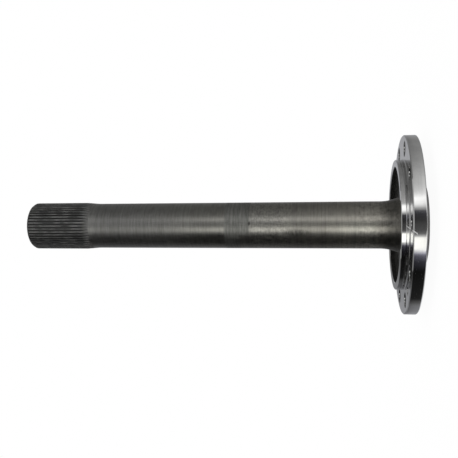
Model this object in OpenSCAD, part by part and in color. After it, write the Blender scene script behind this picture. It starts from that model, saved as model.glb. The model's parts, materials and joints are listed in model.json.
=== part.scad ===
// Flanged axle shaft: one steel forging, turned all over, drilled for the hub and hobbed with a spline.
// It stands on its outboard boss, with the shaft's axis on +Z and the origin at the boss face's centre.

/* [Overall] */
// Length from the boss face to the spline's end face
overall_l = 510; // [440:1:600]

/* [Flange] */
// Diameter of the flange
flange_d = 220; // [196:1:240]
// Thickness of the flange
flange_t = 14.6; // [10:0.1:20]
// Chamfer on the rim's edge at the hub
flange_chamfer = 1; // [0.4:0.1:2]
// Chamfer on the rim's outboard edge
rim_chamfer = 1.5; // [0.4:0.1:3]
// Width of the face that meets the hub, from the rim in to the pilot ring
hub_face_w = 29.5; // [26.5:0.5:34]

/* [Holes in the flange] */
// Number of bolt holes, an even one so that the jacking holes lie between them
bolt_count = 10; // [6:2:12]
// Distance from the rim to the middle of each hole
bolt_edge = 15; // [12.5:0.25:16]
// Diameter of each bolt hole
bolt_hole_d = 18.5; // [14:0.5:20.5]
// Tapping diameter of the two holes for the jacking screws that push the flange off its hub
jack_hole_d = 10.2; // [8:0.1:14]
// Chamfer at both mouths of each hole
hole_chamfer = 0.7; // [0.3:0.1:1.2]

/* [Pilot ring] */
// Thickness of the ring, from the fitted land that centres the hub in to the forged recess
ring_wall = 9; // [6:0.5:12]
// How far the ring stands out from the flange
ring_h = 9.2; // [8:0.1:14]
// Length of the fitted land and its root fillet, from the flange
pilot_l = 3.2; // [2.6:0.1:5]
// How much lower the lead-in land lies than the fitted land
lead_in_step = 0.4; // [0.2:0.1:1]
// Length of the bevel between the two lands
lead_in_bevel = 0.8; // [0.4:0.1:1.5]
// Chamfer on the outer and inner edges of the ring's face
ring_chamfer = 0.7; // [0.3:0.1:1.5]
// Fillet at the root of the ring on the flange
pilot_fillet = 1; // [0.6:0.1:2]
// Fillet round the floor of the recess
recess_fillet = 4; // [1:0.5:6]

/* [Outboard boss] */
// Diameter of the boss on the outboard side
boss_d = 104; // [80:1:120]
// How far the boss stands out from the flange
boss_h = 11.2; // [7:0.1:16]
// Chamfer on the edge of the boss face
boss_chamfer = 1; // [0.4:0.1:2]
// Fillet between the boss and the flange
boss_fillet = 3; // [1:0.5:5]

/* [Shaft] */
// Diameter of the plain shaft, which is the spline's root diameter too
shaft_d = 59; // [52:0.5:66]
// Radius of the flare that runs the shaft into the flange
flare_r = 55; // [45:1:70]
// Length of that flare along the shaft
flare_l = 27; // [20:1:32]

/* [Spline] */
// Number of spline teeth
teeth = 48; // [42:1:54]
// Depth of the root under the pitch circle
dedendum = 0.5; // [0.4:0.05:0.6]
// Height of the tips over the pitch circle
addendum = 0.875; // [0.7:0.025:0.975]
// Pressure angle of the involute flanks
pressure_angle = 30; // [27:1:33]
// Outward shift of the tooth profile
profile_shift = 0.3125; // [0.25:0.0125:0.35]
// Length at full tip diameter, from the end face
spline_l = 73.5; // [60:0.5:90]
// Length of the neck that tapers from the tips to the shaft
neck_l = 18; // [16:0.5:22]
// Distance from the neck's shaft end to where the hob stops
hob_stop = 12; // [10:0.5:14]
// Radius of the hob that leaves the run-out
hob_r = 35; // [30:1:40]
// Radial size of the chamfer at the end face
end_chamfer_r = 2; // [1.5:0.1:3]
// Length of the chamfer at the end face
end_chamfer_l = 3; // [2:0.1:6]

/* [Lathe centres] */
// Diameter of the drilled part
centre_d = 6.3; // [4:0.1:8]
// Diameter of the cone at the end face
centre_mouth_d = 13.2; // [10:0.1:16]
// Depth of the drilled part
centre_l = 12; // [10:0.5:16]

/* [Hidden] */
$fn = 180;
// How far one shape runs into another, and a cut past the face that it opens
lap = 1;
flange_r = flange_d / 2;
pilot_r = flange_r - hub_face_w;
lead_in_r = pilot_r - lead_in_step;
recess_r = pilot_r - ring_wall;
boss_r = boss_d / 2;
shaft_r = shaft_d / 2;
bolt_r = bolt_hole_d / 2;
jack_r = jack_hole_d / 2;
bolt_circle_r = flange_r - bolt_edge;
hub_face_z = boss_h + flange_t;
ring_face_z = hub_face_z + ring_h;
lead_in_z = hub_face_z + pilot_l;
flare_z = hub_face_z + flare_l;

// Half the angle of a lathe centre's cone, and the slope of its drill's point
centre_cone = 30;
drill_point = 31;

pitch_r = shaft_r + dedendum;
tip_r = pitch_r + addendum;
base_r = pitch_r * cos(pressure_angle);
tooth_pitch = 2 * PI * pitch_r / teeth;
tooth_t = tooth_pitch / 2 + 2 * profile_shift * tan(pressure_angle);
// The flanks run a little under the root and past the tip, where the shaft and the tip circle trim them
flank_lap = 0.3;
flank_radii = [shaft_r - flank_lap, pitch_r, tip_r + flank_lap];

taper_z = overall_l - spline_l;
neck_z = taper_z - neck_l;
hob_z = neck_z + hob_stop;
taper = (tip_r - shaft_r) / neck_l;
// The hob's arc leaves the neck's cone where both are as high over the shaft
runout_mid = taper * hob_r;
runout_l = sqrt(runout_mid * runout_mid + 2 * runout_mid * hob_stop) - runout_mid;
// A tooth starts just past that place, where the arc has fallen a little under the cone
tooth_z = hob_z - runout_l + flank_lap;

// Angle between the involute at radius r and the ray to where it leaves the base circle
function involute(r) = sqrt(pow(r / base_r, 2) - 1) * 180 / PI - acos(base_r / r);

// Half the angle that a tooth fills at radius r
function tooth_half(r) = tooth_t / pitch_r * 90 / PI + involute(pitch_r) - involute(r);

function polar(r, angle) = [r * cos(angle), r * sin(angle)];

// One tooth's outline, out along one flank and back along the other
function tooth_outline(middle) = concat(
    [for (r = flank_radii) polar(r, middle - tooth_half(r))],
    [for (i = [len(flank_radii) - 1 : -1 : 0]) polar(flank_radii[i], middle + tooth_half(flank_radii[i]))]
);

// What a fillet of radius r leaves in the corner of the quadrant that opens to +X and +Y
module corner_fill(r) {
    difference() {
        translate([-lap, -lap])
            square(r + lap);
        translate([r, r])
            circle(r);
    }
}

// The boss and the flange, in half section
module flange_section() {
    polygon([
        [0, 0],
        [boss_r - boss_chamfer, 0],
        [boss_r, boss_chamfer],
        [boss_r, boss_h + lap],
        [0, boss_h + lap]
    ]);
    translate([boss_r, boss_h])
        mirror([0, 1])
            corner_fill(boss_fillet);
    polygon([
        [0, boss_h],
        [flange_r - rim_chamfer, boss_h],
        [flange_r, boss_h + rim_chamfer],
        [flange_r, hub_face_z - flange_chamfer],
        [flange_r - flange_chamfer, hub_face_z],
        [0, hub_face_z]
    ]);
}

// The pilot ring, in half section: a fitted land at the flange and a lower land that leads the hub on
module ring_section() {
    polygon([
        [recess_r, hub_face_z - lap],
        [pilot_r, hub_face_z - lap],
        [pilot_r, lead_in_z],
        [lead_in_r, lead_in_z + lead_in_bevel],
        [lead_in_r, ring_face_z - ring_chamfer],
        [lead_in_r - ring_chamfer, ring_face_z],
        [recess_r + ring_chamfer, ring_face_z],
        [recess_r, ring_face_z - ring_chamfer]
    ]);
    translate([pilot_r, hub_face_z])
        corner_fill(pilot_fillet);
    translate([recess_r, hub_face_z])
        mirror([1, 0])
            corner_fill(recess_fillet);
}

// The shaft and the flare at its foot, in half section
module shaft_section() {
    translate([0, hub_face_z - lap])
        square([shaft_r, overall_l - hub_face_z + lap]);
    difference() {
        translate([0, hub_face_z - lap])
            square([shaft_r + flare_l, flare_l + lap]);
        translate([shaft_r + flare_r, flare_z])
            circle(flare_r);
    }
}

// The tapered neck up to where the hob stops, in half section, with the hob's arc cut into it
module runout_section() {
    difference() {
        polygon([
            [0, neck_z - lap],
            [shaft_r - taper * lap, neck_z - lap],
            [shaft_r + taper * hob_stop, hob_z],
            [0, hob_z]
        ]);
        translate([shaft_r + hob_r, hob_z])
            circle(hob_r);
    }
}

// The teeth: a prism of the tooth outlines, trimmed to the tip diameter and to the neck's taper
module spline_teeth() {
    intersection() {
        translate([0, 0, tooth_z])
            linear_extrude(overall_l - tooth_z)
                polygon([for (i = [0 : teeth - 1]) each tooth_outline(i * 360 / teeth)]);
        rotate_extrude()
            polygon([
                [0, neck_z - lap],
                [shaft_r - taper * lap, neck_z - lap],
                [tip_r, taper_z],
                [tip_r, overall_l],
                [0, overall_l]
            ]);
    }
}

// What the chamfer at the spline's end takes away
module end_chamfer() {
    past = lap * end_chamfer_r / end_chamfer_l;
    rotate_extrude()
        polygon([
            [tip_r - end_chamfer_r - past, overall_l + lap],
            [tip_r + past, overall_l - end_chamfer_l - lap],
            [tip_r + past, overall_l + lap]
        ]);
}

// A hole of radius r through the flange, with a chamfer at both mouths
module flange_hole(r) {
    rotate_extrude()
        polygon([
            [0, boss_h - lap],
            [r + hole_chamfer + lap, boss_h - lap],
            [r, boss_h + hole_chamfer],
            [r, hub_face_z - hole_chamfer],
            [r + hole_chamfer + lap, hub_face_z + lap],
            [0, hub_face_z + lap]
        ]);
}

// A lathe centre that opens at z = 0 and goes in along +Z
module lathe_centre() {
    cone_l = (centre_mouth_d - centre_d) / 2 / tan(centre_cone);
    rotate_extrude()
        polygon([
            [0, -lap],
            [centre_mouth_d / 2 + lap * tan(centre_cone), -lap],
            [centre_d / 2, cone_l],
            [centre_d / 2, centre_l],
            [0, centre_l + centre_d / 2 * tan(drill_point)]
        ]);
}

module axle_shaft() {
    color([0.36, 0.36, 0.35])
        difference() {
            union() {
                rotate_extrude() {
                    flange_section();
                    ring_section();
                    shaft_section();
                    runout_section();
                }
                spline_teeth();
            }
            end_chamfer();
            for (i = [0 : bolt_count - 1])
                rotate([0, 0, (i + 0.5) * 360 / bolt_count])
                    translate([bolt_circle_r, 0, 0])
                        flange_hole(bolt_r);
            for (side = [1, -1])
                translate([side * bolt_circle_r, 0, 0])
                    flange_hole(jack_r);
            lathe_centre();
            translate([0, 0, overall_l])
                mirror([0, 0, 1])
                    lathe_centre();
        }
}

axle_shaft();
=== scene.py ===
"""A flanged axle shaft: the forging as a fine mesh, its finishes, the studio round it and the camera."""

import json
import math
from types import SimpleNamespace

import bpy
from mathutils import Matrix, Vector


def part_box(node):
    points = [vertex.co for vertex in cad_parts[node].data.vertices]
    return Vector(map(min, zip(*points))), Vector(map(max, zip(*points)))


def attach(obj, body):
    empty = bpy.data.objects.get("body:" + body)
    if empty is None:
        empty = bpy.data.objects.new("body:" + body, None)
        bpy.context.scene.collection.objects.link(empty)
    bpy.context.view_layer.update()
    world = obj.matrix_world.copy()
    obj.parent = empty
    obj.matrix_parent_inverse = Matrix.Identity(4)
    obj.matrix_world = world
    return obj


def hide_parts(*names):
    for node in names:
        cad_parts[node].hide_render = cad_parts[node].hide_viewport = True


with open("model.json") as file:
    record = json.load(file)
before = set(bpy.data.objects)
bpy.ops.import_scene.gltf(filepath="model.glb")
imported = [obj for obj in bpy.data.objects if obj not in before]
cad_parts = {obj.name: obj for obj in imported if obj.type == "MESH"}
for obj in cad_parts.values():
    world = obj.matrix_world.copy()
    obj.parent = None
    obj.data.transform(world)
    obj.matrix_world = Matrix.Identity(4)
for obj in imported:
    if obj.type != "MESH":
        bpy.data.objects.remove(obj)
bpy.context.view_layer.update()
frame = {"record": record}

MM = 0.001
NODE = "axle_shaft"

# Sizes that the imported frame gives, in millimetres
MOUNTS = {mount["name"]: mount for mount in frame["record"]["mounts"]}
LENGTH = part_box(NODE)[1].z / MM
FLANGE_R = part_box(NODE)[1].x / MM
HUB_FACE_Z = MOUNTS["hub_face"]["pos_m"][2] / MM
PILOT_R = MOUNTS["hub_pilot"]["dims"]["r_mm"]
BOLT_CIRCLE_R = MOUNTS["hub_bolts"]["dims"]["pcd_mm"] / 2
BOLT_COUNT = MOUNTS["hub_bolts"]["dims"]["count"]
BOLT_R = MOUNTS["hub_bolts"]["dims"]["hole_r_mm"]
JACK_R = MOUNTS["jack_screws"]["dims"]["hole_r_mm"]

# Sizes of the half section, in millimetres, as the solid has them
FLANGE_T = 14.6
FLANGE_CHAMFER = 1
RIM_CHAMFER = 1.5
HOLE_CHAMFER = 0.7
BOSS_R = 52
BOSS_CHAMFER = 1
BOSS_FILLET = 3
RING_H = 9.2
RING_WALL = 9
RING_CHAMFER = 0.7
PILOT_L = 3.2
PILOT_FILLET = 1
LEAD_IN_STEP = 0.4
LEAD_IN_BEVEL = 0.8
RECESS_FILLET = 4
SHAFT_R = 29.5
FLARE_R = 55
FLARE_L = 27
CENTRE_R = 3.15
CENTRE_MOUTH_R = 6.6
CENTRE_L = 12
CENTRE_CONE = math.radians(30)
DRILL_POINT = math.radians(31)
BOSS_H = HUB_FACE_Z - FLANGE_T
RING_FACE_Z = HUB_FACE_Z + RING_H
LEAD_IN_R = PILOT_R - LEAD_IN_STEP
LEAD_IN_Z = HUB_FACE_Z + PILOT_L
RECESS_R = PILOT_R - RING_WALL

# The spline: involute teeth that a hob left, with a tapered neck
TEETH = 48
DEDENDUM = 0.5
ADDENDUM = 0.875
PITCH_R = SHAFT_R + DEDENDUM
TIP_R = PITCH_R + ADDENDUM
PRESSURE_ANGLE = math.radians(30)
PROFILE_SHIFT = 0.3125
SPLINE_L = 73.5
NECK_L = 18
HOB_STOP = 12
HOB_R = 35
END_CHAMFER_R = 2
END_CHAMFER_L = 3
TAPER_Z = LENGTH - SPLINE_L
NECK_Z = TAPER_Z - NECK_L
HOB_Z = NECK_Z + HOB_STOP
TAPER = (TIP_R - SHAFT_R) / NECK_L
BASE_R = PITCH_R * math.cos(PRESSURE_ANGLE)
TOOTH_T = math.pi * PITCH_R / TEETH + 2 * PROFILE_SHIFT * math.tan(PRESSURE_ANGLE)

# Roundings that only this mesh has: how deep the lips of the holes go, and the edges of the teeth's tips
LIP_L = 1.4
TIP_ROUND = 0.1

# How fine the mesh is: steps along each form, corners round a hole, and the angle that makes an edge sharp
FILLET_STEPS = 8
RECESS_STEPS = 10
FLARE_STEPS = 16
SHAFT_STEPS = 24
RUN_OUT_STEPS = 24
NECK_STEPS = 4
TOOTH_STEPS = 8
CHAMFER_STEPS = 4
HOLE_SEGMENTS = 64
SHARP_ANGLE = math.radians(20)
# How close a ring of points lies to a fillet, to keep the flat beside it flat
HOLD = 0.2

# The camera of the photograph, given as if it stood at -Y: its place, and the picture's right and up.
# The side that was photographed really lies this far round the axis from there
PHOTO_TURN = math.radians(-36.83)
CAMERA_AT = Vector((-4.72, -782.35, 111.17)) * MM
CAMERA_RIGHT = Vector((-0.00193, 0.16646, -0.98605))
CAMERA_UP = Vector((1, 0.00032, -0.00191))
CAMERA_NEAR = 0.01
FOCAL_PX = 610.7
PICTURE_PX = 458
SENSOR_MM = 36

# Zones along the shaft, as heights in metres: where each fades in or out
REST_LOW, REST_HIGH = 0.2135, 0.2449
PAST_REST_Z = (REST_HIGH + 20 * MM, REST_HIGH + 80 * MM)
MOTTLED_Z = (REST_LOW - 60 * MM, REST_LOW - 40 * MM, REST_LOW - 4 * MM, REST_LOW)
# The polish band near the flange is partly a painted highlight: a brighter, warmer colour where the lower
# strip's highlight falls
POLISH_AND_HIGHLIGHT_Z = (52 * MM, 64 * MM, 90 * MM, 112 * MM)
# Darker towards the flare's foot in the recess: half black at the lower height, none from the upper
FLARE_FOOT_DARK_Z = (36 * MM, 62 * MM)
RUBBED_Z = (70 * MM, 95 * MM)
WARM_Z = (0.07, 0.24)
NECK_MATT_Z = (0.25, 0.37)
NECK_PALE_Z = ((NECK_Z - 3) * MM, (NECK_Z + 2) * MM)
RUN_OUT_Z = ((HOB_Z - 5) * MM, (HOB_Z + 5) * MM)
# The band that a rest left has a ragged lower edge and two soft ones, and it starts later on one side
REST_RAGGED = 3 * MM
REST_SOFT_LOW, REST_SOFT_HIGH = 0.5 * MM, 0.4 * MM
REST_SIDE, REST_LATER = (-15 * MM, -10 * MM), 13 * MM
# The warm polish is partly a painted highlight. It ends this far round the shaft, so only the lower side,
# where the lower strip's highlight falls, gets it
PAINTED_HIGHLIGHT_SIDE = (1 * MM, 8 * MM)

# Marks on the photographed side, in metres, given as if that side lay at -Y: middles and half sizes
SMUDGE_AT, SMUDGE_SIZE = (-0.0096, -0.027, 0.153), (0.0068, 0.012, 0.023)
STAIN_AT, STAIN_SIZE = (-0.0085, -0.028, 0.137), (0.008, 0.012, 0.032)
NICK_AT, NICK_SIZE = (0.0024, -0.0294, 0.213), (0.0036, 0.004, 0.0017)
# A scratch in one straight cut across the ring, the hub face and the rim: its ends, and which way it goes in
SCRATCH_FROM, SCRATCH_TO = Vector((-1.6, -80.2, 29.7)) * MM, Vector((-10.4, -109.5, 21.4)) * MM
SCRATCH_IN = Vector((-0.0019, 1, -0.1245))
SCRATCH_HALF = 0.5 * MM

# Colours of the finishes
SHAFT_COOL = (0.317, 0.312, 0.286, 1)
SHAFT_WARM = (0.365, 0.35, 0.31, 1)
SHAFT_DARK = (0.24, 0.235, 0.215, 1)
# Partly a polish, partly a painted highlight: the warm colour of the lower strip's highlight on the shaft
POLISH_AND_HIGHLIGHT_WARM = (0.465, 0.455, 0.403, 1)
REST_GREY = (0.255, 0.258, 0.242, 1)
NECK_GREY = (0.27, 0.269, 0.26, 1)
NEAR_BLACK = (0.03, 0.03, 0.028, 1)
# Painted shade: the dark colour of the flanks and the gaps between the spline's teeth
GAP_SHADE_DARK = (0.095, 0.095, 0.093, 1)
TIP_DULL, TIP_WORN = (0.17, 0.17, 0.168, 1), (0.41, 0.41, 0.402, 1)
BRIGHT_DARK, BRIGHT_LIGHT = (0.60, 0.60, 0.595, 1), (0.66, 0.66, 0.65, 1)
SCRATCH_PALE = (0.5, 0.5, 0.495, 1)
BOSS_DARK, BOSS_LIGHT = (0.26, 0.257, 0.25, 1), (0.32, 0.317, 0.308, 1)
FORGED_DARK, FORGED_LIGHT = (0.012, 0.012, 0.0105, 1), (0.035, 0.034, 0.0285, 1)
BORE_DARK, BORE_LIGHT = (0.16, 0.16, 0.157, 1), (0.24, 0.24, 0.235, 1)
CENTRE_DARK, CENTRE_LIGHT = (0.3, 0.295, 0.285, 1), (0.42, 0.415, 0.4, 1)
LIP_BRIGHT = (0.5, 0.5, 0.495, 1)
WHITE = (1, 1, 1, 1)

# Where most of a noise lies and its middle, and how far out a ragged spot is full and where it ends
NOISE_RANGE, NOISE_MIDDLE = (0.3, 0.7), 0.5
SPOT_EDGE = (0.45, 1.05)

# The floor: its size, its colour, and how much plain white is seen over it; the rest shows the shadow
FLOOR_R = 8
FLOOR_SEGMENTS = 64
FLOOR_PALE = (0.98, 0.98, 0.98, 1)
FLOOR_SEEN_WHITE = 0.95

# The studio's wall as the steel mirrors it: at each angle from the photographed side towards the picture's
# top, in degrees, its brightness at the four heights that the rim, the pilot ring, the shaft and the spline
# mirror
WALL = {
    -180: (0.42, 0.45, 0.38, 0.5),
    -175.5: (0.42, 0.4, 0.16, 0.48),
    -170.5: (0.4, 0.37, 0.33, 0.46),
    -140: (0.29, 0.13, 0.13, 0.3),
    -121: (0.245, 0.1, 0.1, 0.16),
    -112: (0.13, 0.065, 0.065, 0.098),
    -103: (0.022, 0.014, 0.022, 0.04),
    -57: (0.009, 0.004, 0.01, 0.012),
    -45: (0.055, 0.006, 0.012, 0.02),
    -37: (0.19, 0.016, 0.05, 0.06),
    -34: (0.58, 0.1, 0.25, 0.2),
    -31: (1.38, 0.5, 0.95, 0.55),
    -28: (1.46, 1.9, 2.05, 0.8),
    -16: (1.46, 1.9, 2.05, 0.8),
    -13.5: (0.58, 0.5, 0.9, 0.55),
    -11: (0.2, 0.1, 0.46, 0.42),
    -8: (0.11, 0.06, 0.3, 0.36),
    0: (0.08, 0.045, 0.17, 0.31),
    6: (0.05, 0.02, 0.11, 0.28),
    13: (0.055, 0.025, 0.12, 0.29),
    16: (0.1, 0.06, 0.2, 0.33),
    20: (0.56, 0.7, 0.65, 0.45),
    24: (1.1, 1.6, 1.35, 0.58),
    31: (1.46, 1.7, 1.5, 0.62),
    35: (1.36, 0.65, 0.65, 0.46),
    37: (1.2, 0.44, 0.41, 0.34),
    42: (1.02, 0.4, 0.28, 0.26),
    50: (0.8, 0.34, 0.22, 0.2),
    75: (0.49, 0.24, 0.16, 0.16),
    95: (0.35, 0.19, 0.135, 0.18),
    130: (0.28, 0.17, 0.125, 0.22),
    180: (0.42, 0.45, 0.48, 0.45),
}
RIM_ROW, RING_ROW, SHAFT_ROW, SPLINE_ROW = zip(*WALL.values())
# The ground that the rim's outboard edge mirrors is lighter than the wall over it at these angles
GROUND = {-180: 0.42, -175.5: 0.45, -170.5: 0.5, -140: 1.0, -121: 0.9, -112: 0.75, -103: 0.55}
GROUND_ROW = [GROUND.get(degrees, levels[0]) for degrees, levels in WALL.items()]
WALL_BRIGHTEST = max(max(levels) for levels in WALL.values())
# Tints of the wall: its far side is cool, one strip shines warm, and both strips have a bluish edge
COOL = (0.98, 0.99, 1.04)
WALL_TINTS = {
    -170.5: COOL,
    -140: COOL,
    -121: COOL,
    -45: (0.96, 0.95, 1.2),
    -37: (0.96, 0.95, 1.2),
    -34: (0.97, 0.96, 1.15),
    -28: (1, 1, 0.97),
    -16: (1, 0.995, 0.95),
    13: (0.98, 0.98, 1.1),
    16: (0.98, 0.98, 1.08),
    180: COOL,
}
WALL_R = 2.2
WALL_FOOT, WALL_TOP = -12, 3.5
WALL_SEGMENTS = 96
# Heights on the wall between which one row of brightness turns into the next
GROUND_TO_RIM = (-1.2, -0.5)
RIM_TO_RING = (-0.245, -0.228)
RING_TO_SHAFT = (-0.15, -0.05)
SHAFT_TO_SPLINE = (0.3, 1.0)
# The ceiling's brightness at its dark side, which lies below in the picture, and from its middle on
CEILING_DARK, CEILING_LEVEL = 0.3, 0.5
CEILING_FADE = (-1.6, 0.2)


def involute(r):
    """The angle between an involute's point at radius r and its start on the base circle."""
    return math.sqrt((r / BASE_R) ** 2 - 1) - math.acos(BASE_R / r)


def tooth_half(r):
    """Half the angle that a tooth fills at radius r."""
    return TOOTH_T / PITCH_R / 2 + involute(PITCH_R) - involute(r)


def tooth_points():
    """Angle and radius of the points of one tooth, from the middle of one gap to just before the next."""
    rising = [
        (math.pi / TEETH, SHAFT_R),
        (tooth_half(SHAFT_R), SHAFT_R),
        (tooth_half(PITCH_R), PITCH_R),
        (tooth_half(TIP_R - TIP_ROUND), TIP_R - TIP_ROUND),
        (tooth_half(TIP_R) - TIP_ROUND / TIP_R, TIP_R),
    ]
    return [(-angle, r) for angle, r in rising] + [(0, TIP_R)] + rising[:0:-1]


def blank_r(z):
    """Radius of the turned blank under the teeth: neck, full diameter and end chamfer."""
    tapered = SHAFT_R + TAPER * (z - NECK_Z)
    chamfered = TIP_R - END_CHAMFER_R * (z - LENGTH + END_CHAMFER_L) / END_CHAMFER_L
    return min(tapered, TIP_R, chamfered)


def gap_r(z):
    """Radius of the floor of the gaps, which rises on the hob's arc at the neck."""
    if z >= HOB_Z:
        return SHAFT_R
    return SHAFT_R + HOB_R - math.sqrt(HOB_R**2 - (HOB_Z - z) ** 2)


def stepped(start, end, steps):
    """Numbers in even steps between two numbers, the end one included."""
    return [start + (end - start) * i / steps for i in range(1, steps + 1)]


def spline_heights():
    """Heights of the rings of points along the neck and the teeth."""
    chamfer_z = LENGTH - END_CHAMFER_L
    gone_z = chamfer_z + END_CHAMFER_L * (TIP_R - SHAFT_R) / END_CHAMFER_R
    return [
        NECK_Z,
        *stepped(NECK_Z, HOB_Z, RUN_OUT_STEPS),
        *stepped(HOB_Z, TAPER_Z, NECK_STEPS),
        *stepped(TAPER_Z, chamfer_z, TOOTH_STEPS),
        *stepped(chamfer_z, gone_z, CHAMFER_STEPS),
        LENGTH,
    ]


def arc(centre_r, centre_z, radius, start, end, steps):
    """Points of an arc in the half section, from one angle to the other, in degrees."""
    angles = [math.radians(start + (end - start) * i / steps) for i in range(steps + 1)]
    return [(centre_r + radius * math.cos(a), centre_z + radius * math.sin(a)) for a in angles]


def even(start, end, steps):
    """Points in even steps between two points of the half section, the end one included."""
    return list(zip(stepped(start[0], end[0], steps), stepped(start[1], end[1], steps)))


def lathe_centre(z, inwards):
    """Points of a lathe centre in an end face at z, from its drilled point out to its mouth."""
    cone_l = (CENTRE_MOUTH_R - CENTRE_R) / math.tan(CENTRE_CONE)
    depths = [
        (0, CENTRE_L + CENTRE_R * math.tan(DRILL_POINT)),
        (CENTRE_R, CENTRE_L),
        (CENTRE_R, cone_l),
        (CENTRE_MOUTH_R, 0),
    ]
    return [(r, z + inwards * depth) for r, depth in depths]


def half_section():
    """The turned outline from the outboard lathe centre to the other one: (finish, points) in order."""
    foot_r = SHAFT_R + FLARE_R - math.sqrt(FLARE_R**2 - FLARE_L**2)
    foot_angle = 180 + math.degrees(math.asin(FLARE_L / FLARE_R))
    flare_z = HUB_FACE_Z + FLARE_L
    rim_r, rim_z = FLANGE_R - RIM_CHAMFER, BOSS_H + RIM_CHAMFER
    root_r, root_z = PILOT_R + PILOT_FILLET, HUB_FACE_Z + PILOT_FILLET
    floor_r, floor_z = RECESS_R - RECESS_FILLET, HUB_FACE_Z + RECESS_FILLET
    tooth_z = HOB_Z - HOB_STOP / 2
    return [
        ("centre", lathe_centre(0, 1)),
        ("boss", even((CENTRE_MOUTH_R, 0), (BOSS_R - BOSS_CHAMFER, 0), 3)),
        ("boss", [(BOSS_R, BOSS_CHAMFER)]),
        ("boss", arc(BOSS_R + BOSS_FILLET, BOSS_H - BOSS_FILLET, BOSS_FILLET, 180, 90, FILLET_STEPS)),
        ("boss", [(BOSS_R + BOSS_FILLET + HOLD, BOSS_H), (rim_r, BOSS_H)]),
        ("bright", arc(rim_r, rim_z, RIM_CHAMFER, 270, 360, FILLET_STEPS)[1:]),
        ("bright", even((FLANGE_R, rim_z), (FLANGE_R, HUB_FACE_Z - FLANGE_CHAMFER), 4)),
        ("bright", [(FLANGE_R - FLANGE_CHAMFER, HUB_FACE_Z), (root_r + HOLD, HUB_FACE_Z)]),
        ("ring", arc(root_r, root_z, PILOT_FILLET, 270, 180, FILLET_STEPS)),
        ("land", [(PILOT_R, root_z + HOLD), (PILOT_R, LEAD_IN_Z)]),
        ("ring", [(LEAD_IN_R, LEAD_IN_Z + LEAD_IN_BEVEL)]),
        ("ring", [(LEAD_IN_R, RING_FACE_Z - RING_CHAMFER), (LEAD_IN_R - RING_CHAMFER, RING_FACE_Z)]),
        ("ring", [(RECESS_R + RING_CHAMFER, RING_FACE_Z), (RECESS_R, RING_FACE_Z - RING_CHAMFER)]),
        ("forged", [(RECESS_R, floor_z + HOLD)]),
        ("forged", arc(floor_r, floor_z, RECESS_FILLET, 0, -90, RECESS_STEPS)),
        ("forged", even((floor_r, HUB_FACE_Z), (foot_r, HUB_FACE_Z), 4)),
        ("shaft", arc(SHAFT_R + FLARE_R, flare_z, FLARE_R, foot_angle, 180, FLARE_STEPS)[1:]),
        ("shaft", even((SHAFT_R, flare_z), (SHAFT_R, NECK_Z), SHAFT_STEPS)[:-1]),
        ("shaft", [(None, z) for z in spline_heights() if z <= tooth_z]),
        ("spline", [(None, z) for z in spline_heights() if z > tooth_z]),
        ("spline", even((blank_r(LENGTH), LENGTH), (CENTRE_MOUTH_R, LENGTH), 2)[:-1]),
        ("centre", lathe_centre(LENGTH, -1)[::-1]),
    ]


def turned(sections, columns):
    """Points and faces of a closed turned shape, and each face's finish.
    Columns are (angle, tooth radius) round the axis; a point with no radius takes it from the teeth."""
    rings = [(finish, point) for finish, points in sections for point in points]
    verts, faces, finishes, before = [], [], [], None
    for finish, (r, z) in rings:
        if r == 0:
            ring = [len(verts)] * len(columns)
            verts.append((0, 0, z * MM))
        else:
            ring = range(len(verts), len(verts) + len(columns))
            for angle, tooth_r in columns:
                wanted = r if r is not None else min(blank_r(z), max(gap_r(z), tooth_r))
                verts.append((wanted * MM * math.cos(angle), wanted * MM * math.sin(angle), z * MM))
        if before is not None:
            for i in range(len(columns)):
                j = (i + 1) % len(columns)
                corners = [before[i], before[j], ring[j], ring[i]]
                faces.append(list(dict.fromkeys(corners)))
                finishes.append(finish)
        before = ring
    return verts, faces, finishes


def mesh_object(name, verts, faces, finishes, materials):
    """A mesh object whose faces carry the named finishes."""
    mesh = bpy.data.meshes.new(name)
    mesh.from_pydata(verts, [], faces)
    names = list(materials)
    for material in materials.values():
        mesh.materials.append(material)
    mesh.polygons.foreach_set("material_index", [names.index(finish) for finish in finishes])
    mesh.update()
    made = bpy.data.objects.new(name, mesh)
    bpy.context.scene.collection.objects.link(made)
    return made


def hole_plug(r):
    """The half section of a plug that cuts a hole of radius r through the flange and leaves rounded lips,
    as (finish, points) in order."""
    past = 1
    wide = r + HOLE_CHAMFER
    turns = [math.pi / 2 * i / FILLET_STEPS for i in range(FILLET_STEPS)]
    lip = [(wide - HOLE_CHAMFER * math.cos(turn), LIP_L * (1 - math.sin(turn))) for turn in turns]
    lower = [(lip_r, BOSS_H + deep) for lip_r, deep in reversed(lip)]
    upper = [(lip_r, HUB_FACE_Z - deep) for lip_r, deep in lip]
    return [
        ("bore", [(0, BOSS_H - past), (wide + past, BOSS_H - past), lower[0]]),
        ("lip", lower[1:]),
        ("bore", upper[:1]),
        ("lip", upper[1:]),
        ("bore", [(wide + past, HUB_FACE_Z + past), (0, HUB_FACE_Z + past)]),
    ]


def hole_tool(materials):
    """The tool that cuts the holes in the flange: a turned plug for each bolt hole and each jacking hole."""
    holes = [(BOLT_R, 2 * math.pi * (k + 0.5) / BOLT_COUNT) for k in range(BOLT_COUNT)]
    holes += [(JACK_R, 0), (JACK_R, math.pi)]
    columns = [(2 * math.pi * i / HOLE_SEGMENTS, 0) for i in range(HOLE_SEGMENTS)]
    verts, faces, finishes = [], [], []
    for r, around in holes:
        x, y = BOLT_CIRCLE_R * MM * math.cos(around), BOLT_CIRCLE_R * MM * math.sin(around)
        points, sides, kinds = turned(hole_plug(r), columns)
        faces += [[len(verts) + corner for corner in side] for side in sides]
        verts += [(px + x, py + y, pz) for px, py, pz in points]
        finishes += kinds
    return mesh_object("hole_tool", verts, faces, finishes, materials)


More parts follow.
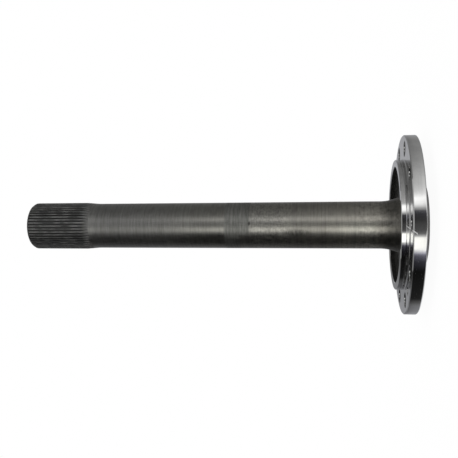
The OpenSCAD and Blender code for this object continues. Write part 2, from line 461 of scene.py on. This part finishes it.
def build_shaft(materials):
    """The whole forging as one fine mesh, in place of the CAD node."""
    pitch = 2 * math.pi / TEETH
    columns = [(tooth * pitch + angle, r) for tooth in range(TEETH) for angle, r in tooth_points()]
    piece = mesh_object("axle_shaft_steel", *turned(half_section(), columns), materials)
    tool = hole_tool(materials)
    cut = piece.modifiers.new("holes", "BOOLEAN")
    cut.operation = "DIFFERENCE"
    cut.solver = "EXACT"
    cut.object = tool
    cut_mesh = bpy.data.meshes.new_from_object(piece.evaluated_get(bpy.context.evaluated_depsgraph_get()))
    piece.modifiers.clear()
    piece.data = cut_mesh
    bpy.data.objects.remove(tool)
    cut_mesh.shade_smooth()
    cut_mesh.set_sharp_from_angle(angle=SHARP_ANGLE)
    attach(piece, "root")
    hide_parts(NODE)


def join(tree, value, socket):
    """Links a socket to another one, or sets it to a value."""
    if isinstance(value, bpy.types.NodeSocket):
        tree.links.new(value, socket)
    else:
        socket.default_value = value


def node(tree, kind, inputs=None, **settings):
    """A new shader node with its settings, and its inputs set to values or linked to sockets."""
    made = tree.nodes.new("ShaderNode" + kind)
    for key, value in settings.items():
        setattr(made, key, value)
    for key, value in (inputs or {}).items():
        join(tree, value, made.inputs[key])
    return made


def maths(tree, operation, *values):
    """A Math node's result."""
    return node(tree, "Math", dict(enumerate(values)), operation=operation).outputs[0]


def total(tree, first, *others):
    """Values added together."""
    for other in others:
        first = maths(tree, "ADD", first, other)
    return first


def product(tree, first, *others):
    """Values multiplied together."""
    for other in others:
        first = maths(tree, "MULTIPLY", first, other)
    return first


def less(tree, value, taken):
    """A value less another one."""
    return maths(tree, "SUBTRACT", value, taken)


def vector_maths(tree, operation, *values):
    """A Vector Math node's results, of which the first is a vector and "Value" a number."""
    return node(tree, "VectorMath", dict(enumerate(values)), operation=operation).outputs


def parts(tree, vector):
    """A vector's x, y and z."""
    return list(node(tree, "SeparateXYZ", {0: vector}).outputs)


def between(tree, value, low, high, to_low, to_high, interpolation="SMOOTHSTEP"):
    """A value taken from one range to another, held at its ends."""
    inputs = {"Value": value, "From Min": low, "From Max": high, "To Min": to_low, "To Max": to_high}
    return node(tree, "MapRange", inputs, interpolation_type=interpolation).outputs[0]


def within(tree, value, start, full, fading, end):
    """1 from full to fading, and 0 before start and past end."""
    return product(tree, between(tree, value, start, full, 0, 1), between(tree, value, fading, end, 1, 0))


def by_noise(tree, noise, low, high):
    """A value between two, by a noise."""
    return between(tree, noise, *NOISE_RANGE, low, high)


def mixed(tree, share, a, b, blend="MIX"):
    """Two colours mixed by a share."""
    made = node(tree, "Mix", data_type="RGBA", blend_type=blend)
    share_socket, a_socket, b_socket = made.inputs[0], made.inputs[6], made.inputs[7]
    join(tree, share, share_socket)
    join(tree, a, a_socket)
    join(tree, b, b_socket)
    return made.outputs[2]


def bumped(tree, height, strength, distance):
    """A normal that a height bends."""
    return node(tree, "Bump", {"Strength": strength, "Distance": distance, "Height": height}).outputs[0]


def empty_material(name):
    """A material with an empty tree and its output node."""
    material = bpy.data.materials.new(name)
    material.use_nodes = True
    material.node_tree.nodes.clear()
    tree = material.node_tree
    return material, tree, node(tree, "OutputMaterial")


def turning(tree):
    """Where a point lies on the turned shape, in metres, with its radius and its way along the section."""
    position = node(tree, "TexCoord").outputs["Object"]
    x, y, z = parts(tree, position)
    radius = maths(tree, "SQRT", total(tree, product(tree, x, x), product(tree, y, y)))
    along = total(tree, z, radius)
    return SimpleNamespace(position=position, x=x, y=y, z=z, radius=radius, along=along)


def lathe_lines(tree, at, along, spacing, breaks, detail=3):
    """Noise in rings round the axis: about one to the spacing, with that many breaks to a metre."""
    scaled = node(tree, "CombineXYZ", {
        0: product(tree, at.x, breaks),
        1: product(tree, at.y, breaks),
        2: maths(tree, "DIVIDE", along, spacing),
    }).outputs[0]
    inputs = {"Vector": scaled, "Scale": 1, "Detail": detail, "Roughness": 0.6}
    return node(tree, "TexNoise", inputs).outputs[0]


def cloud(tree, position, size, detail=3):
    """Plain noise with blotches of about that size, in metres."""
    return node(tree, "TexNoise", {"Vector": position, "Scale": 1 / size, "Detail": detail}).outputs[0]


def from_photo_side(tree, position):
    """A position turned about the axis, so that the photographed side lies at -Y."""
    inputs = {"Vector": position, "Angle": -PHOTO_TURN}
    return node(tree, "VectorRotate", inputs, rotation_type="Z_AXIS").outputs[0]


def spot(tree, position, centre, size, grain):
    """How much a point lies in a ragged spot: 1 in its middle and 0 outside. Sizes are along x, y and z."""
    offset = vector_maths(tree, "SUBTRACT", position, centre)[0]
    distance = vector_maths(tree, "LENGTH", vector_maths(tree, "DIVIDE", offset, size)[0])["Value"]
    return between(tree, total(tree, distance, less(tree, grain, NOISE_MIDDLE)), *SPOT_EDGE, 1, 0)


def scratch(tree, position):
    """How much a point lies in the scratch: near the plane of its cut, between its ends and on its side."""
    normal = SCRATCH_IN.cross(SCRATCH_TO - SCRATCH_FROM).normalized()
    offset = vector_maths(tree, "SUBTRACT", position, SCRATCH_FROM)[0]
    aside = maths(tree, "ABSOLUTE", vector_maths(tree, "DOT_PRODUCT", offset, normal)["Value"])
    line = between(tree, aside, SCRATCH_HALF * 0.5, SCRATCH_HALF * 1.5, 1, 0)
    y, z = parts(tree, position)[1:]
    past_start = maths(tree, "LESS_THAN", z, SCRATCH_FROM.z)
    before_end = maths(tree, "GREATER_THAN", z, SCRATCH_TO.z)
    return product(tree, line, past_start, before_end, maths(tree, "LESS_THAN", y, 0))


def steel(tree, output, inputs):
    """Finishes a metal material with a Principled shader."""
    shader = node(tree, "BsdfPrincipled", {"Metallic": 1, **inputs})
    tree.links.new(shader.outputs[0], output.inputs[0])


def shaft_zones(tree, z, aside, speck):
    """How much a point lies in each zone of the shaft, by its height and how far aside it lies."""
    ragged = total(tree, z, product(tree, less(tree, speck, NOISE_MIDDLE), REST_RAGGED))
    ragged = less(tree, ragged, between(tree, aside, *REST_SIDE, REST_LATER, 0))
    return SimpleNamespace(
        rest=product(
            tree,
            between(tree, ragged, REST_LOW - REST_SOFT_LOW, REST_LOW + REST_SOFT_LOW, 0, 1),
            between(tree, z, REST_HIGH - REST_SOFT_HIGH, REST_HIGH + REST_SOFT_HIGH, 1, 0),
        ),
        past_rest=product(
            tree, maths(tree, "GREATER_THAN", z, REST_HIGH), between(tree, z, *PAST_REST_Z, 1, 0)
        ),
        neck=between(tree, z, *NECK_MATT_Z, 0, 1),
        mottled=within(tree, z, *MOTTLED_Z),
        # Partly painted highlight: the polish lies only on the side where the lower strip's highlight falls
        polish_and_highlight=product(tree, within(tree, z, *POLISH_AND_HIGHLIGHT_Z), between(tree, aside, *PAINTED_HIGHLIGHT_SIDE, 1, 0)),
    )


def shaft_dirt(tree, side, streaks, speck):
    """How black the oily smudge, the stain and the nick make a point."""
    smudge = spot(tree, side, SMUDGE_AT, SMUDGE_SIZE, streaks)
    smudge = product(tree, smudge, between(tree, streaks, 0.35, 0.6, 0.15, 0.65))
    stain = product(tree, spot(tree, side, STAIN_AT, STAIN_SIZE, speck), 0.16)
    nick = product(tree, spot(tree, side, NICK_AT, NICK_SIZE, speck), 0.65)
    return maths(tree, "MAXIMUM", stain, maths(tree, "MAXIMUM", smudge, nick))


def shaft_steel():
    """Dark, oiled steel with the marks of the lathe, a matt band where a rest held it, warm stains, and a
    warm polish near the flange that is partly a painted highlight on its lower side.
    """
    material, tree, output = empty_material("turned_dark_steel")
    at = turning(tree)
    side = from_photo_side(tree, at.position)
    fine = lathe_lines(tree, at, at.along, 0.7 * MM, 14)
    lines = lathe_lines(tree, at, at.along, 2.2 * MM, 8, 2)
    streaks = lathe_lines(tree, at, at.along, 1.8 * MM, 110, 2)
    flecks = lathe_lines(tree, at, at.along, 2.4 * MM, 300, 2)
    blotch = cloud(tree, at.position, 20 * MM)
    speck = cloud(tree, at.position, 4 * MM)
    zones = shaft_zones(tree, at.z, parts(tree, side)[0], speck)

    colour = mixed(tree, between(tree, at.z, *WARM_Z, 1, 0), SHAFT_COOL, SHAFT_WARM)
    # Painted highlight, partly a real polish: a brighter, warmer colour where the lower strip's highlight
    # falls
    colour = mixed(tree, zones.polish_and_highlight, colour, POLISH_AND_HIGHLIGHT_WARM)
    colour = mixed(tree, between(tree, blotch, 0.45, 0.75, 0, 0.3), colour, SHAFT_DARK)
    colour = mixed(tree, product(tree, zones.rest, 0.85), colour, REST_GREY)
    colour = mixed(tree, product(tree, zones.neck, 0.8), colour, NECK_GREY)
    colour = mixed(tree, shaft_dirt(tree, side, streaks, speck), colour, NEAR_BLACK)
    # Darker towards the flare's foot in the recess: half black at 36 mm, none from 62 mm
    colour = mixed(tree, between(tree, at.z, *FLARE_FOOT_DARK_Z, 0.5, 0), colour, NEAR_BLACK)

    rubbed = product(tree, less(tree, speck, NOISE_MIDDLE), between(tree, at.z, *RUBBED_Z, 1.3, 0))
    pale = between(tree, at.z, *NECK_PALE_Z, 0, 0.12)
    flecked = product(tree, zones.mottled, by_noise(tree, flecks, -0.1, 0.34))
    marks = less(tree, total(tree, lines, streaks), 1)
    marked = product(tree, marks, total(tree, 0.6, product(tree, zones.rest, 0.4)))
    level = total(tree, 1, rubbed, pale, flecked, marked)
    colour = mixed(tree, 1, colour, level, "MULTIPLY")

    rough = total(
        tree,
        by_noise(tree, streaks, 0.325, 0.385),
        product(tree, zones.mottled, between(tree, speck, 0.4, 0.75, -0.05, 0.08)),
        product(tree, zones.rest, 0.1),
        product(tree, zones.neck, 0.06),
        product(tree, zones.past_rest, -0.04),
    )
    bump = bumped(tree, total(tree, fine, product(tree, lines, 0.5)), 0.2, 0.05 * MM)
    steel(tree, output, {"Base Color": colour, "Roughness": rough, "Normal": bump})
    return material


def spline_steel():
    """Darker steel of the hobbed teeth, with painted shade below the tips, on the flanks and in the gaps
    between them. It runs out into the neck's grey.
    """
    material, tree, output = empty_material("hobbed_dark_steel")
    at = turning(tree)
    lengthwise = vector_maths(tree, "MULTIPLY", at.position, (1, 1, 0.4))[0]
    blotch = cloud(tree, lengthwise, 6 * MM)
    run_out = between(tree, at.z, *RUN_OUT_Z, 1, 0)
    tip_r = between(tree, at.z, NECK_Z * MM, TAPER_Z * MM, SHAFT_R * MM, TIP_R * MM, "LINEAR")
    on_tip = between(tree, less(tree, tip_r, at.radius), 0.04 * MM, 0.22 * MM, 1, 0)
    tips = mixed(tree, between(tree, blotch, 0.35, 0.65, 0, 1), TIP_DULL, TIP_WORN)
    # Painted shade: below the tips, the flanks and the gaps between the teeth take the dark gap colour
    colour = mixed(tree, run_out, mixed(tree, on_tip, GAP_SHADE_DARK, tips), NECK_GREY)
    rough = total(tree, by_noise(tree, blotch, 0.46, 0.56), product(tree, run_out, 0.06))
    bump = bumped(tree, cloud(tree, at.position, 1.2 * MM), 0.3, 0.04 * MM)
    steel(tree, output, {"Base Color": colour, "Roughness": rough, "Normal": bump})
    return material


def bright_steel(name, smooth, rough, stretch):
    """Finish-turned steel between two roughnesses. It mirrors along its fine rings and blurs across them."""
    material, tree, output = empty_material(name)
    at = turning(tree)
    fine = lathe_lines(tree, at, at.along, 0.35 * MM, 8)
    blotch = cloud(tree, at.position, 14 * MM)
    scratched = scratch(tree, from_photo_side(tree, at.position))
    colour = mixed(tree, by_noise(tree, blotch, 0, 1), BRIGHT_DARK, BRIGHT_LIGHT)
    steel(tree, output, {
        "Base Color": mixed(tree, scratched, colour, SCRATCH_PALE),
        "Metallic": less(tree, 1, scratched),
        "Roughness": total(tree, by_noise(tree, fine, smooth, rough), product(tree, scratched, 0.65)),
        "Normal": bumped(tree, fine, 0.12, 0.02 * MM),
        "Anisotropic": stretch,
        "Anisotropic Rotation": 0.25,
        "Tangent": node(tree, "Tangent", direction_type="RADIAL", axis="Z").outputs[0],
    })
    return material


def boss_steel():
    """Plainly turned steel of the outboard side."""
    material, tree, output = empty_material("plain_turned_steel")
    at = turning(tree)
    fine = lathe_lines(tree, at, at.along, 0.5 * MM, 8)
    blotch = cloud(tree, at.position, 25 * MM)
    steel(tree, output, {
        "Base Color": mixed(tree, by_noise(tree, blotch, 0, 1), BOSS_DARK, BOSS_LIGHT),
        "Roughness": by_noise(tree, fine, 0.48, 0.6),
        "Normal": bumped(tree, fine, 0.2, 0.03 * MM),
    })
    return material


def forged_steel():
    """Black scale that the forging left in the recess."""
    material, tree, output = empty_material("forged_black_scale")
    grain = cloud(tree, turning(tree).position, 2.5 * MM, 5)
    steel(tree, output, {
        "Base Color": mixed(tree, between(tree, grain, 0.35, 0.7, 0, 1), FORGED_DARK, FORGED_LIGHT),
        "Roughness": by_noise(tree, grain, 0.55, 0.75),
        "Normal": bumped(tree, grain, 0.5, 0.3 * MM),
        "Metallic": 0.2,
    })
    return material


def bored_steel(name, dark, light):
    """Drilled steel between two colours, with the feed marks of the drill."""
    material, tree, output = empty_material(name)
    at = turning(tree)
    feed = lathe_lines(tree, at, at.z, 0.4 * MM, 40)
    steel(tree, output, {
        "Base Color": mixed(tree, by_noise(tree, feed, 0, 1), dark, light),
        "Roughness": by_noise(tree, feed, 0.2, 0.35),
        "Normal": bumped(tree, feed, 0.3, 0.04 * MM),
    })
    return material


def lip_steel():
    """Burnished steel of the holes' rounded lips."""
    material, tree, output = empty_material("burnished_steel")
    steel(tree, output, {"Base Color": LIP_BRIGHT, "Roughness": 0.05})
    return material


def finishes():
    """The part's finishes by name."""
    return {
        "shaft": shaft_steel(),
        "spline": spline_steel(),
        "bright": bright_steel("bright_turned_steel", 0.06, 0.12, 0.5),
        "ring": bright_steel("turned_ring_steel", 0.06, 0.11, 0.7),
        "land": bright_steel("fitted_land_steel", 0.13, 0.16, 0.97),
        "boss": boss_steel(),
        "forged": forged_steel(),
        "bore": bored_steel("drilled_steel", BORE_DARK, BORE_LIGHT),
        "lip": lip_steel(),
        "centre": bored_steel("centre_drilled_steel", CENTRE_DARK, CENTRE_LIGHT),
    }


def make_camera():
    """The photograph's camera, which lies on its side: the picture's left is the part's top."""
    data = bpy.data.cameras.new("camera")
    data.sensor_width = SENSOR_MM
    data.lens = FOCAL_PX / PICTURE_PX * SENSOR_MM
    data.clip_start = CAMERA_NEAR
    camera = bpy.data.objects.new("camera", data)
    right = CAMERA_RIGHT.normalized()
    back = right.cross(CAMERA_UP).normalized()
    turn = Matrix((right, back.cross(right), back)).transposed().to_4x4()
    camera.matrix_world = Matrix.Rotation(PHOTO_TURN, 4, "Z") @ Matrix.Translation(CAMERA_AT) @ turn
    bpy.context.scene.collection.objects.link(camera)
    bpy.context.scene.camera = camera


def round_points(radius, z, segments):
    """Points in a circle about the axis at height z."""
    angles = [2 * math.pi * i / segments for i in range(segments)]
    return [(radius * math.cos(a), radius * math.sin(a), z) for a in angles]


def make_floor():
    """A wide pale floor under the part, which is seen as white with a faint shadow."""
    material, tree, output = empty_material("pale_floor")
    matt = node(tree, "BsdfDiffuse", {"Color": FLOOR_PALE}).outputs[0]
    white = node(tree, "Emission", {"Color": WHITE, "Strength": 1}).outputs[0]
    path = node(tree, "LightPath").outputs
    rays = total(tree, path["Is Camera Ray"], path["Is Glossy Ray"], path["Is Transmission Ray"])
    mix = node(tree, "MixShader", {0: product(tree, rays, FLOOR_SEEN_WHITE), 1: matt, 2: white})
    tree.links.new(mix.outputs[0], output.inputs[0])
    rim = round_points(FLOOR_R, 0, FLOOR_SEGMENTS)
    floor = mesh_object("floor", rim, [list(range(FLOOR_SEGMENTS))], ["floor"], {"floor": material})
    floor.visible_glossy = False


def wall_row(tree, share, levels):
    """One row of the wall's brightness round the part, as a share of the brightest."""
    ramp = node(tree, "ValToRGB", {0: share})
    stops = ramp.color_ramp.elements
    while len(stops) < len(levels):
        stops.new(0.5)
    for stop, degrees, level in zip(stops, WALL, levels):
        tints = WALL_TINTS.get(degrees, (1, 1, 1))
        stop.position = degrees / 360 + 0.5
        stop.color = [level / WALL_BRIGHTEST * tint for tint in tints] + [1]
    return ramp.outputs[0]


def wall_colour(tree):
    """The wall's brightness by angle and height."""
    at = turning(tree)
    angle = maths(tree, "ARCTAN2", at.x, product(tree, at.y, -1))
    share = total(tree, maths(tree, "DIVIDE", angle, 2 * math.pi), 0.5)
    colour = wall_row(tree, share, GROUND_ROW)
    for heights, levels in (
        (GROUND_TO_RIM, RIM_ROW),
        (RIM_TO_RING, RING_ROW),
        (RING_TO_SHAFT, SHAFT_ROW),
        (SHAFT_TO_SPLINE, SPLINE_ROW),
    ):
        colour = mixed(tree, between(tree, at.z, *heights, 0, 1), colour, wall_row(tree, share, levels))
    return colour


def ceiling_colour(tree):
    """The ceiling's brightness from side to side."""
    return between(tree, turning(tree).x, *CEILING_FADE, CEILING_DARK, CEILING_LEVEL)


def glow(name, make_colour, strength):
    """A material that shines in a colour that a function makes in its tree, and isn't sampled as a lamp."""
    material, tree, output = empty_material(name)
    shine = node(tree, "Emission", {"Color": make_colour(tree), "Strength": strength})
    tree.links.new(shine.outputs[0], output.inputs[0])
    material.cycles.emission_sampling = "NONE"
    return material


def make_wall():
    """The studio's round wall with its two lit strips, which run on over the ground, and a grey ceiling.
    Only the steel mirrors it."""
    count = WALL_SEGMENTS
    verts = round_points(WALL_R, WALL_FOOT, count) + round_points(WALL_R, WALL_TOP, count)
    faces = [[(i + 1) % count, i, i + count, (i + 1) % count + count] for i in range(count)]
    faces += [list(range(count)), list(range(count, 2 * count))]
    kinds = ["wall"] * (count + 1) + ["ceiling"]
    wall = mesh_object("studio_wall", verts, faces, kinds, {
        "wall": glow("studio_wall", wall_colour, WALL_BRIGHTEST),
        "ceiling": glow("studio_ceiling", ceiling_colour, 1),
    })
    wall.rotation_euler.z = PHOTO_TURN
    wall.visible_camera = False
    wall.visible_diffuse = False
    wall.visible_shadow = False
    wall.visible_transmission = False


def make_world():
    """White light from all sides."""
    world = bpy.data.worlds.new("studio")
    world.use_nodes = True
    world.node_tree.nodes["Background"].inputs["Color"].default_value = WHITE
    world.node_tree.nodes["Background"].inputs["Strength"].default_value = 1
    bpy.context.scene.world = world


build_shaft(finishes())
make_camera()
make_floor()
make_wall()
make_world()
bpy.context.scene.view_settings.view_transform = "Standard"
